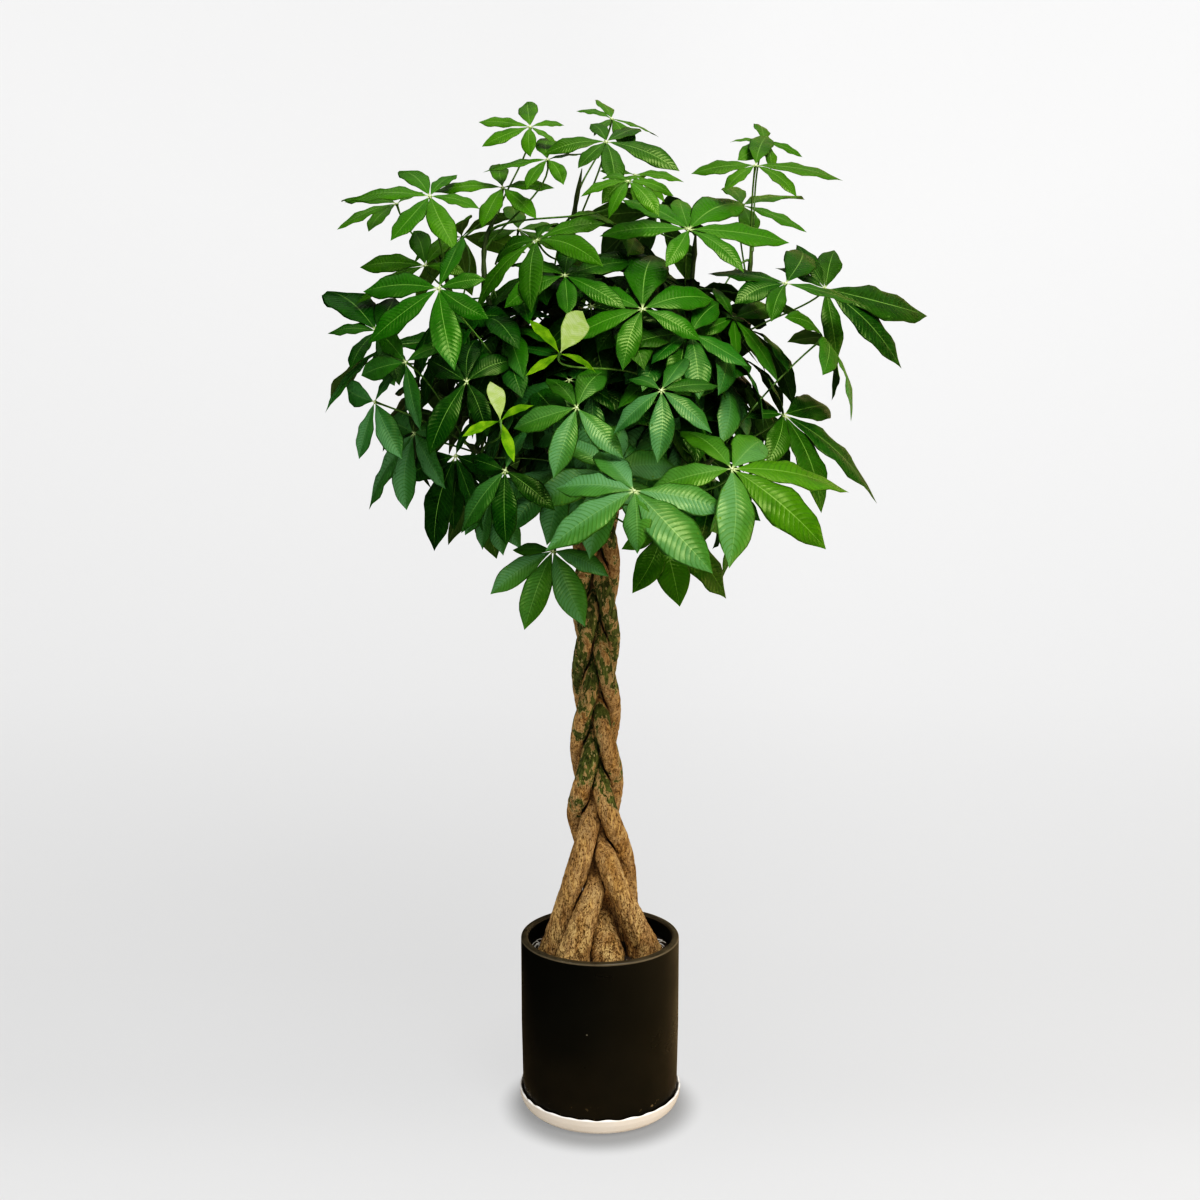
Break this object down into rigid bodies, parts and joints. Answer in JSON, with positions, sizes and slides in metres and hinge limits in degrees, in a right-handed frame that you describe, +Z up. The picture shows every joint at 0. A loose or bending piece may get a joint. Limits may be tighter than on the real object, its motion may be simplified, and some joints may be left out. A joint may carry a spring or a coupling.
{
  "type": "potted money tree",
  "caption": "Tall indoor money tree with a plaited trunk and a round crown of palmate leaves, planted in a black cylindrical pot on a shallow cream saucer.",
  "frame": {"origin": "middle of the saucer's flat underside, on the floor", "axes": "+Z up, -Y towards the front of the plant as pictured, +X to the right seen from the front"},
  "size_m": [1.0606, 0.806, 1.7698],
  "materials": {
    "pot": "matte",
    "saucer": "satin",
    "soil": "matte",
    "bark": "matte",
    "leaf": "satin"
  },
  "bodies": {
    "root": {"pot": "pot", "saucer": "saucer", "soil": "soil", "trunk_1": "bark", "trunk_2": "bark", "trunk_3": "bark", "trunk_4": "bark", "trunk_5": "bark", "shoot_left_tall": "leaf", "shoot_middle_tall": "leaf", "shoot_right_tall": "leaf", "shoot_left_high": "leaf", "shoot_right_high": "leaf", "shoot_front": "leaf", "shoot_front_left": "leaf", "shoot_front_low": "leaf", "shoot_right_low": "leaf", "shoot_left_low": "leaf", "shoot_back": "leaf", "shoot_back_left": "leaf", "shoot_back_right": "leaf", "shoot_back_low": "leaf"}
  },
  "joints": []
}
